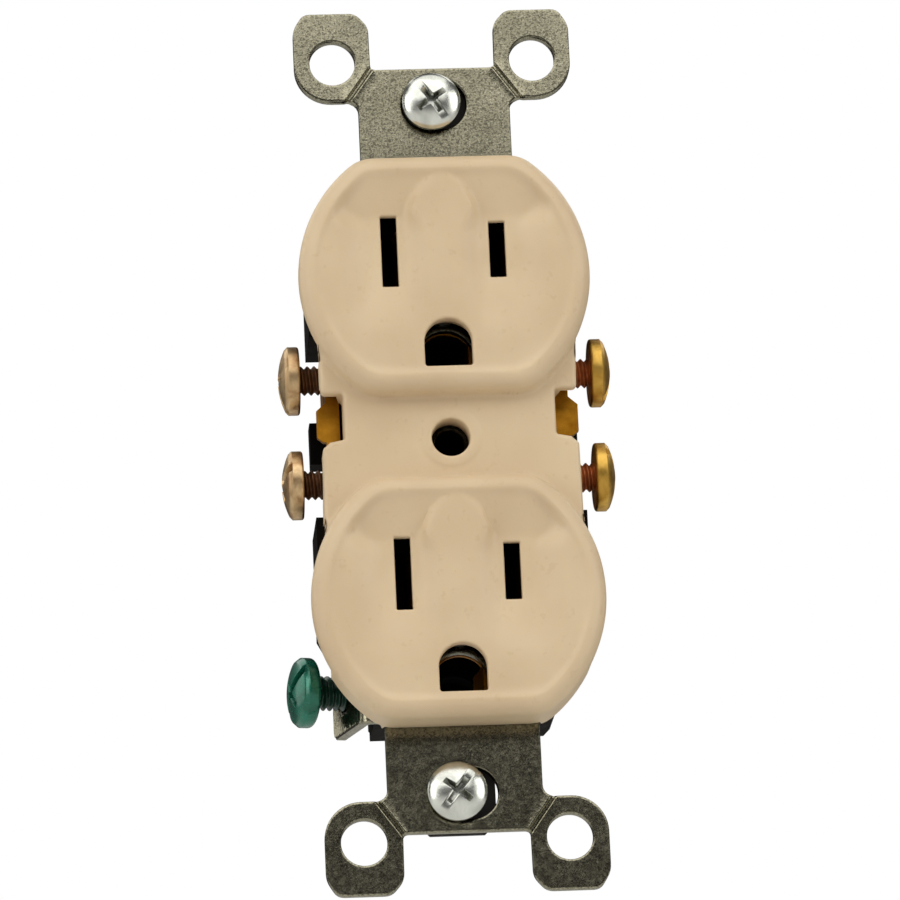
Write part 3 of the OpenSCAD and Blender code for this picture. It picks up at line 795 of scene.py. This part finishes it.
# ---------------------------------------------------------------- refined copies of CAD shapes
def refined(name, node, body, slot, width):
    """A copy of a CAD node's shape with its flat faces merged and its edges rounded."""
    src = frame["nodes"][node]
    obj = bpy.data.objects.new(name, src.data.copy())
    bpy.context.scene.collection.objects.link(obj)
    obj.data.materials.clear()
    bm = bmesh.new()
    bm.from_mesh(obj.data)
    bmesh.ops.remove_doubles(bm, verts=bm.verts, dist=2e-6)
    bmesh.ops.dissolve_limit(bm, angle_limit=math.radians(2), verts=bm.verts, edges=bm.edges,
                             delimit={"NORMAL"})
    bm.to_mesh(obj.data)
    bm.free()
    bevel(obj, width * MM)
    finish_object(obj, body, node, slot, 32)
    # broad flat faces keep their own normals beside the narrow rounded edges
    m = obj.modifiers.new("weighted", "WEIGHTED_NORMAL")
    m.keep_sharp = True
    bake_modifiers(obj)
    return obj


pieces = {}
pieces["cover"] = build_cover()
pieces["strap"] = build_strap()
pieces["body"] = refined("body_moulding", "back_body", "housing", "black_plastic", 0.22)
for side in ("hot", "neutral"):
    pieces[side + "_bus"] = refined(side + "_bus_stamping", side + "_bus", "housing", "brass_strip", 0.06)
for end in ("upper", "lower"):
    pieces[end + "_contact"] = refined(end + "_ground_clip", end + "_ground_contact", "housing",
                                       "brass_strip", 0.05)
    pieces[end + "_retainer"] = refined(end + "_retainer_washer", end + "_screw_retainer",
                                        end + "_screw_retainer", "black_fibre", 0.07)

# each head's radius, height, dome and edge
TERMINAL_HEAD = (4.05, 2.5, 1.0, 0.3)
GROUND_HEAD = (4.1, 2.7, 1.0, 0.5)
MOUNTING_HEAD = (3.45, 1.9, 1.1, 0.15)
ASSEMBLY_HEAD = (3.0, 2.0, 0.8, 0.2)
THREAD_R = 1.75
TERMINAL_X = 17.15         # underside of a backed-out terminal head
TERMINAL_Y = 2.9
MOUNTING_OUT = 0.75        # a mounting head stands this far off the strap's front
ASSEMBLY_Y = 20.05         # seat of an assembly screw's head, in its counterbore
GROUND_OUT = 3.8           # the ground screw is backed out this far
SLOT_TURN = {"upper_hot_screw": 1.15, "lower_hot_screw": 2.5, "upper_neutral_screw": 1.62,
             "lower_neutral_screw": 0.35}
for end, up, mount_x, mount_turn in (("upper", 1, -0.4, -55), ("lower", -1, -1.0, 52)):
    for side, sx in (("hot", 1), ("neutral", -1)):
        node = f"{end}_{side}_screw"
        place = place_matrix((sx * TERMINAL_X, TERMINAL_Y, BLADE_UP + up * TERMINAL_DZ), (sx, 0, 0))
        metal = "brass_screw" if sx > 0 else "nickel_screw"
        pieces[node] = build_screw(node + "_threaded", node, node, metal, place, THREAD_R, 7.0,
                                   TERMINAL_HEAD, "slot", SLOT_TURN[node])
    node = f"{end}_mounting_screw"
    place = place_matrix((mount_x, -STRAP_T - MOUNTING_OUT, up * MOUNT_Z), (0, -1, 0))
    pieces[node] = build_screw(node + "_threaded", node, node, "zinc_steel", place, THREAD_R, 15.0,
                               MOUNTING_HEAD, "combo", math.radians(mount_turn))
    node = f"{end}_assembly_screw"
    place = place_matrix((0, ASSEMBLY_Y, up * OUTLET_Z + BLADE_UP), (0, 1, 0))
    pieces[node] = build_screw(node + "_threaded", "housing", node, "zinc_steel", place, 1.45, 25.2,
                               ASSEMBLY_HEAD, "slot", rng.uniform(0, math.pi))
out = Vector((-math.sin(WING_BEND), -math.cos(WING_BEND), 0))
along = Vector((-math.cos(WING_BEND), math.sin(WING_BEND), 0))
seat = Vector((WING_X, WING_R, WING_MID)) + along * GROUND_SCREW_AT
seat += out * (WING_R + STRAP_T + GROUND_OUT)
pieces["ground_screw"] = build_screw("ground_screw_threaded", "ground_screw", "ground_screw",
                                     "green_screw", place_matrix(seat, out), 2.05, 7.5, GROUND_HEAD,
                                     "slot", math.radians(35))


# ---------------------------------------------------------------- materials
def linear(rgb):
    """sRGB 0-255 to linear."""
    return tuple(((c / 255) / 12.92 if c / 255 <= 0.04045 else ((c / 255 + 0.055) / 1.055) ** 2.4)
                 for c in rgb) + (1.0,)


class Mat:
    """A node material with a Principled shader and a few helpers."""

    def __init__(self, name):
        self.material = bpy.data.materials.new(name)
        self.material.use_nodes = True
        self.tree = self.material.node_tree
        self.shader = self.tree.nodes["Principled BSDF"]
        self.position = self.tree.nodes.new("ShaderNodeTexCoord").outputs["Object"]
        self.height = None

    def node(self, kind, **values):
        n = self.tree.nodes.new(kind)
        for k, v in values.items():
            setattr(n, k, v)
        return n

    def link(self, a, b):
        self.tree.links.new(a, b)

    def scaled(self, x, y, z):
        n = self.node("ShaderNodeMapping")
        n.inputs["Scale"].default_value = (x, y, z)
        self.link(self.position, n.inputs["Vector"])
        return n.outputs["Vector"]

    def noise(self, scale, detail=3.0, rough=0.5, vector=None, distortion=0.0):
        n = self.node("ShaderNodeTexNoise")
        n.inputs["Scale"].default_value = scale
        n.inputs["Detail"].default_value = detail
        n.inputs["Roughness"].default_value = rough
        n.inputs["Distortion"].default_value = distortion
        self.link(vector or self.position, n.inputs["Vector"])
        return n.outputs["Fac"]

    def ramp(self, fac, stops):
        n = self.node("ShaderNodeValToRGB")
        els = n.color_ramp.elements
        while len(els) < len(stops):
            els.new(0.5)
        for e, (at, colour) in zip(els, stops):
            e.position, e.color = at, colour
        self.link(fac, n.inputs["Fac"])
        return n.outputs["Color"]

    def grey(self, fac, a, b, lo=0.0, hi=1.0):
        n = self.node("ShaderNodeMapRange")
        for k, v in (("From Min", lo), ("From Max", hi), ("To Min", a), ("To Max", b)):
            n.inputs[k].default_value = v
        self.link(fac, n.inputs["Value"])
        return n.outputs["Result"]

    def mix(self, fac, a, b, mode="MIX"):
        n = self.node("ShaderNodeMix", data_type="RGBA", blend_type=mode)
        for i, v in ((0, fac), (6, a), (7, b)):
            if isinstance(v, bpy.types.NodeSocket):
                self.link(v, n.inputs[i])
            else:
                n.inputs[i].default_value = v
        return n.outputs[2]

    def math(self, op, a, b):
        n = self.node("ShaderNodeMath", operation=op)
        for i, v in enumerate((a, b)):
            if isinstance(v, bpy.types.NodeSocket):
                self.link(v, n.inputs[i])
            else:
                n.inputs[i].default_value = v
        return n.outputs[0]

    def bump(self, height, strength, mm):
        n = self.node("ShaderNodeBump")
        n.inputs["Strength"].default_value = strength
        n.inputs["Distance"].default_value = mm * MM
        self.link(height, n.inputs["Height"])
        if self.height is not None:
            self.link(self.height, n.inputs["Normal"])
        self.height = n.outputs["Normal"]
        self.link(self.height, self.shader.inputs["Normal"])

    def cavity(self, dist_mm):
        """Dark where the surface is enclosed, for painted shade in corners and hollows."""
        n = self.node("ShaderNodeAmbientOcclusion", samples=6)
        n.inputs["Distance"].default_value = dist_mm * MM
        return n.outputs["AO"]

    def set(self, **values):
        for k, v in values.items():
            self.shader.inputs[k.replace("_", " ")].default_value = v


def ivory():
    """Aged ivory moulding, faintly dusty, with painted shade in its corners and hollows."""
    m = Mat("ivory_plastic")
    m.set(IOR=1.5, Subsurface_Weight=0.12, Subsurface_Scale=0.0012, Subsurface_Radius=(1.0, 0.6, 0.35))
    tone = m.grey(m.noise(90, 3), 0, 1, 0.35, 0.65)
    base = m.mix(tone, linear((214, 189, 153)), linear((222, 199, 163)))
    dust = m.ramp(m.noise(700, 4, 0.65),
                  [(0.0, (1, 1, 1, 1)), (0.6, (1, 1, 1, 1)), (0.68, (0.90, 0.86, 0.80, 1))])
    base = m.mix(0.5, base, dust, "MULTIPLY")
    # painted shade: brown darkening where the surface is enclosed, at the outlets' feet, on the bridge and
    # in the holes
    cavity_shade = m.ramp(m.cavity(4.0), [(0.2, linear((96, 66, 36))), (0.6, (1, 1, 1, 1))])
    base = m.mix(0.8, base, cavity_shade, "MULTIPLY")
    m.link(base, m.shader.inputs["Base Color"])
    m.link(m.grey(m.noise(260, 3), 0.36, 0.52), m.shader.inputs["Roughness"])
    m.bump(m.noise(2200, 2), 0.18, 0.03)
    m.bump(m.noise(320, 3), 0.2, 0.05)
    return m.material


def black():
    """Dull, near-black moulding."""
    m = Mat("black_plastic")
    m.set(IOR=1.3, Specular_IOR_Level=0.1)
    m.link(m.mix(m.noise(150, 4), linear((9, 7, 6)), linear((17, 14, 12))), m.shader.inputs["Base Color"])
    m.link(m.grey(m.noise(400, 3), 0.5, 0.72), m.shader.inputs["Roughness"])
    m.bump(m.noise(1500, 3), 0.3, 0.05)
    return m.material


def galvanised():
    """Zinc-coated steel with a fine, worn grain, and painted shade where it is enclosed."""
    m = Mat("galvanised_steel")
    m.set(Metallic=1.0)
    grain = m.noise(5200, 2, 0.5)
    base = m.mix(m.grey(m.noise(240, 4), 0, 1, 0.3, 0.7), linear((150, 146, 124)), linear((170, 165, 142)))
    base = m.mix(m.grey(grain, 0, 0.66, 0.48, 0.62), base, linear((70, 68, 55)))
    base = m.mix(m.grey(m.noise(3800, 2), 0, 0.35, 0.56, 0.68), base, linear((214, 210, 190)))
    # painted shade: near black where the strap is enclosed, behind the cover and through its holes
    shade = m.ramp(m.cavity(7.0), [(0.36, linear((24, 17, 11))), (0.64, (1, 1, 1, 1))])
    base = m.mix(1.0, base, shade, "MULTIPLY")
    m.link(base, m.shader.inputs["Base Color"])
    m.link(m.grey(m.noise(1400, 3, 0.6), 0.15, 0.26, 0.3, 0.7), m.shader.inputs["Roughness"])
    m.bump(grain, 0.35, 0.03)
    m.bump(m.noise(60, 2), 0.1, 0.3)
    return m.material


def brass_strip():
    """Tarnished brass strip with fine streaks, and painted shade where it is enclosed."""
    m = Mat("brass_strip")
    m.set(Metallic=1.0)
    tarnish = m.noise(260, 5, 0.65)
    base = m.mix(m.grey(tarnish, 0, 1, 0.35, 0.65), linear((160, 104, 22)), linear((202, 142, 42)))
    # painted shade: dark brown where the strip is enclosed, as in the notches and behind the cover
    shade = m.ramp(m.cavity(7.0), [(0.15, linear((40, 28, 18))), (0.42, (1, 1, 1, 1))])
    base = m.mix(0.9, base, shade, "MULTIPLY")
    m.link(base, m.shader.inputs["Base Color"])
    m.link(m.grey(m.noise(500, 3), 0.25, 0.5), m.shader.inputs["Roughness"])
    m.bump(m.noise(900, 3, vector=m.scaled(1, 1, 6)), 0.2, 0.04)
    return m.material


def screw_metal(name, lo, hi, thread_and_shade_tint, rough, metal=1.0, coat=0.0):
    """Screw metal with stains, painted shade in its hollows, and an oxidised or oiled thread."""
    m = Mat(name)
    m.set(Metallic=metal, Coat_Weight=coat, Coat_Roughness=0.12)
    blot = m.noise(330, 4, 0.6, distortion=0.6)
    base = m.mix(m.grey(blot, 0, 1, 0.35, 0.65), linear(lo), linear(hi))
    # painted shade: the thread's dark tint where the surface is enclosed, in the head's slot and recess and
    # between the thread's crests
    base = m.mix(m.grey(m.cavity(0.8), 0.75, 0.0, 0.2, 0.7), base, linear(thread_and_shade_tint))
    mask = m.node("ShaderNodeAttribute", attribute_name="thread").outputs["Fac"]
    shank = m.mix(m.noise(900, 3), linear(thread_and_shade_tint), linear([c * 1.5 for c in thread_and_shade_tint]))
    m.link(m.mix(mask, base, shank), m.shader.inputs["Base Color"])
    m.link(m.math("ADD", m.grey(m.noise(700, 3), *rough), m.math("MULTIPLY", mask, 0.15)),
           m.shader.inputs["Roughness"])
    m.bump(m.noise(1100, 3), 0.25, 0.04)
    m.bump(m.noise(240, 2), 0.2, 0.08)
    return m.material


def plain_metal(name, lo, hi):
    """Plain steel of a tone between two colours, for the hidden pieces."""
    m = Mat(name)
    m.set(Metallic=1.0)
    m.link(m.mix(m.noise(300, 3), linear(lo), linear(hi)), m.shader.inputs["Base Color"])
    m.link(m.grey(m.noise(600, 3), 0.3, 0.5), m.shader.inputs["Roughness"])
    m.bump(m.noise(900, 2), 0.2, 0.03)
    return m.material


def fibre():
    """Matt black pressed fibre."""
    m = Mat("black_fibre")
    m.set(Roughness=0.75)
    base = m.mix(m.noise(700, 4), linear((18, 15, 14)), linear((40, 34, 30)))
    m.link(base, m.shader.inputs["Base Color"])
    m.bump(m.noise(1400, 3, vector=m.scaled(1, 1, 3)), 0.4, 0.05)
    return m.material


MATERIALS = {
    "ivory_plastic": ivory(),
    "black_plastic": black(),
    "galvanised_steel": galvanised(),
    "brass_strip": brass_strip(),
    "plain_steel": plain_metal("plain_steel", (150, 150, 148), (186, 186, 184)),
    "zinc_steel": screw_metal("zinc_steel", (200, 202, 194), (232, 234, 226), (92, 90, 84), (0.16, 0.32)),
    "brass_screw": screw_metal("brass_screw", (176, 128, 46), (226, 184, 92), (150, 98, 64), (0.32, 0.5)),
    "nickel_screw": screw_metal("nickel_screw", (170, 132, 92), (228, 200, 154), (92, 68, 50), (0.28, 0.46)),
    "green_screw": screw_metal("green_screw", (10, 92, 72), (26, 122, 98), (8, 44, 32), (0.2, 0.36),
                               metal=0.5, coat=0.5),
    "black_fibre": fibre(),
    "spring_steel": plain_metal("spring_steel", (140, 141, 142), (178, 178, 180)),
}
slot_of = {s["node"]: s["material_slot"] for s in record["subparts"]}
for name, obj in frame["nodes"].items():
    obj.data.materials.clear()
    obj.data.materials.append(MATERIALS[slot_of[name]])
for obj in pieces.values():
    obj.data.materials.clear()
    obj.data.materials.append(MATERIALS[obj["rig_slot"]])

# ---------------------------------------------------------------- floor, light and camera
floor = mesh_object("floor", [(-6, -6, -0.3), (6, -6, -0.3), (6, 6, -0.3), (-6, 6, -0.3)],
                    [(0, 1, 2, 3)])
pale = Mat("pale_floor")
pale.set(Roughness=0.8)
tone = pale.mix(pale.noise(3), (0.78, 0.78, 0.77, 1), (0.84, 0.84, 0.83, 1))
pale.link(tone, pale.shader.inputs["Base Color"])
floor.data.materials.append(pale.material)


def softbox(name, azimuth, elevation, distance, size, power):
    """A softbox facing the outlet, placed by its direction from the front in degrees."""
    az, el = math.radians(azimuth), math.radians(elevation)
    at = Vector((math.sin(az) * math.cos(el), -math.cos(az) * math.cos(el), math.sin(el))) * distance
    data = bpy.data.lights.new(name, "AREA")
    data.shape, data.size, data.size_y = "RECTANGLE", size[0], size[1]
    data.energy, data.color = power, (1, 0.985, 0.96)
    box = bpy.data.objects.new(name, data)
    bpy.context.scene.collection.objects.link(box)
    box.location = at
    box.rotation_euler = (-at).to_track_quat("-Z", "Y").to_euler()


softbox("key", -6, 42, 1.6, (2.56, 1.41), 16)
softbox("top_box", 0, 74, 1.2, (1.4, 0.7), 3.4)
softbox("left_box", -58, 12, 3.6, (1.54, 2.57), 33)
softbox("left_side", -108, 14, 3.5, (2.1, 2.0), 15)
softbox("right_box", 60, 12, 3.6, (1.54, 2.57), 35.5)
softbox("left_rear", -135, 45, 2.4, (1.6, 1.6), 10)
softbox("right_rear", 135, 45, 2.4, (1.6, 1.6), 10)

# white where the camera sees past the floor, and a dim grey for everything else
world = bpy.data.worlds.new("studio")
bpy.context.scene.world = world
world.use_nodes = True
wt = world.node_tree
wt.nodes.clear()
w_out = wt.nodes.new("ShaderNodeOutputWorld")
w_mix = wt.nodes.new("ShaderNodeMixShader")
w_ray = wt.nodes.new("ShaderNodeLightPath")
w_seen = wt.nodes.new("ShaderNodeBackground")
w_seen.inputs["Color"].default_value = (1, 1, 1, 1)
w_lit = wt.nodes.new("ShaderNodeBackground")
w_lit.inputs["Color"].default_value = (0.07, 0.07, 0.069, 1)
wt.links.new(w_ray.outputs["Is Camera Ray"], w_mix.inputs["Fac"])
wt.links.new(w_lit.outputs[0], w_mix.inputs[1])
wt.links.new(w_seen.outputs[0], w_mix.inputs[2])
wt.links.new(w_mix.outputs[0], w_out.inputs["Surface"])

azimuth, elevation, roll = (math.radians(a) for a in (-4.057, -14.452, -2.616))
DISTANCE = 0.72965
back = Vector((math.sin(azimuth) * math.cos(elevation), -math.cos(azimuth) * math.cos(elevation),
               math.sin(elevation)))
right = Vector((0, 0, 1)).cross(back).normalized()
up = back.cross(right)
cam_x = math.cos(roll) * right + math.sin(roll) * up
cam_y = -math.sin(roll) * right + math.cos(roll) * up
pose = Matrix((cam_x, cam_y, back)).transposed().to_4x4()
pose.translation = back * DISTANCE
cam_data = bpy.data.cameras.new("camera")
cam_data.sensor_width = 36.0
cam_data.lens = 248.78
cam_data.shift_x, cam_data.shift_y = 0.00127, -0.00382
cam_data.clip_start = 0.01
camera = bpy.data.objects.new("camera", cam_data)
camera.matrix_world = pose
bpy.context.scene.collection.objects.link(camera)
bpy.context.scene.camera = camera
bpy.context.scene.view_settings.view_transform = "Standard"
